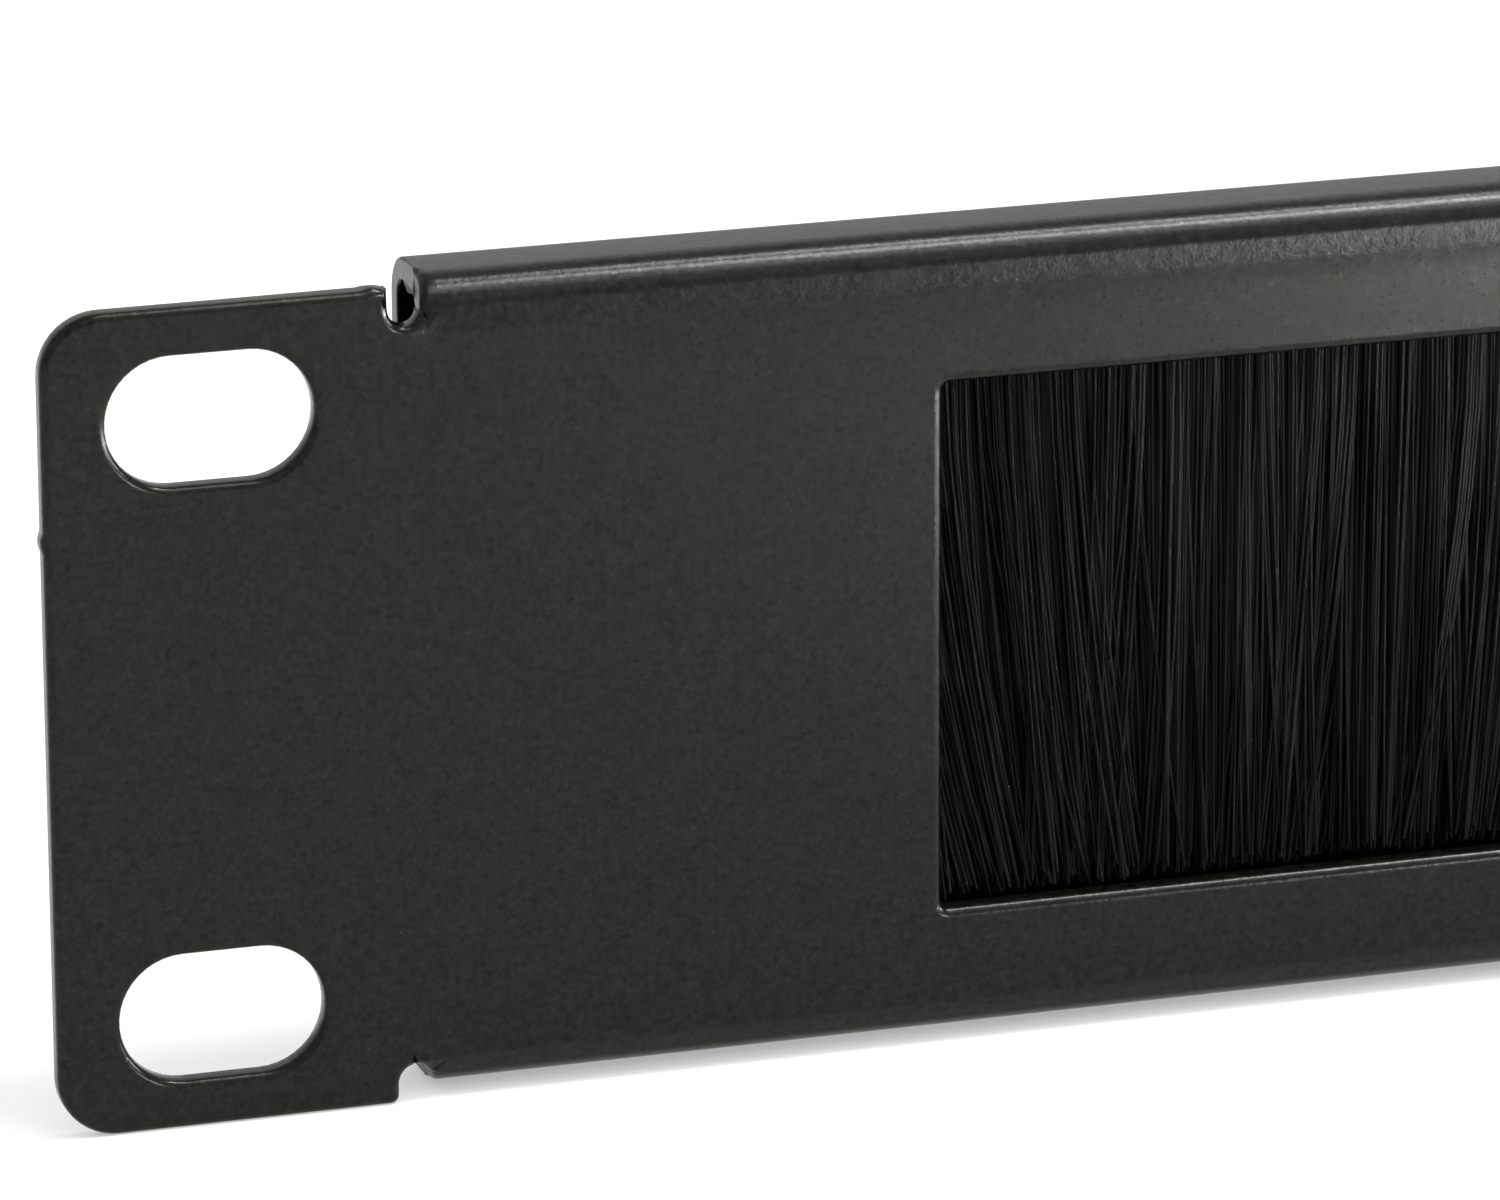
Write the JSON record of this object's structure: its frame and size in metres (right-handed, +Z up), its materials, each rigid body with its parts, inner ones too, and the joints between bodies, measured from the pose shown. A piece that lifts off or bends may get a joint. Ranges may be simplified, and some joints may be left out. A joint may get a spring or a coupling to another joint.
{
  "type": "rack brush strip panel",
  "caption": "Folded sheet-steel 19-inch rack panel with slotted ears and a long window covered by a hanging strip brush for cable entry.",
  "frame": {"origin": "middle of the panel, on the plane of the ears' rear faces, where they meet the rack rails, at mid height of the slot pattern", "axes": "+X along the panel, -Y out of its front, +Y into the rack, +Z up"},
  "size_m": [0.4827, 0.0089, 0.044],
  "materials": {
    "powder_coat": "fine-textured matt black powder coat",
    "channel_steel": "galvanised",
    "wire_steel": "drawn wire",
    "filament": "black nylon filament, slight sheen",
    "screw_zinc": "zinc plated"
  },
  "bodies": {
    "root": {"panel": "powder_coat", "brush_channel": "channel_steel", "core_wire": "wire_steel", "bristles": "filament", "clamp_screw_1": "screw_zinc", "clamp_screw_2": "screw_zinc", "clamp_screw_3": "screw_zinc", "clamp_screw_4": "screw_zinc", "clamp_screw_5": "screw_zinc", "clamp_screw_6": "screw_zinc", "clamp_screw_7": "screw_zinc"}
  },
  "joints": []
}
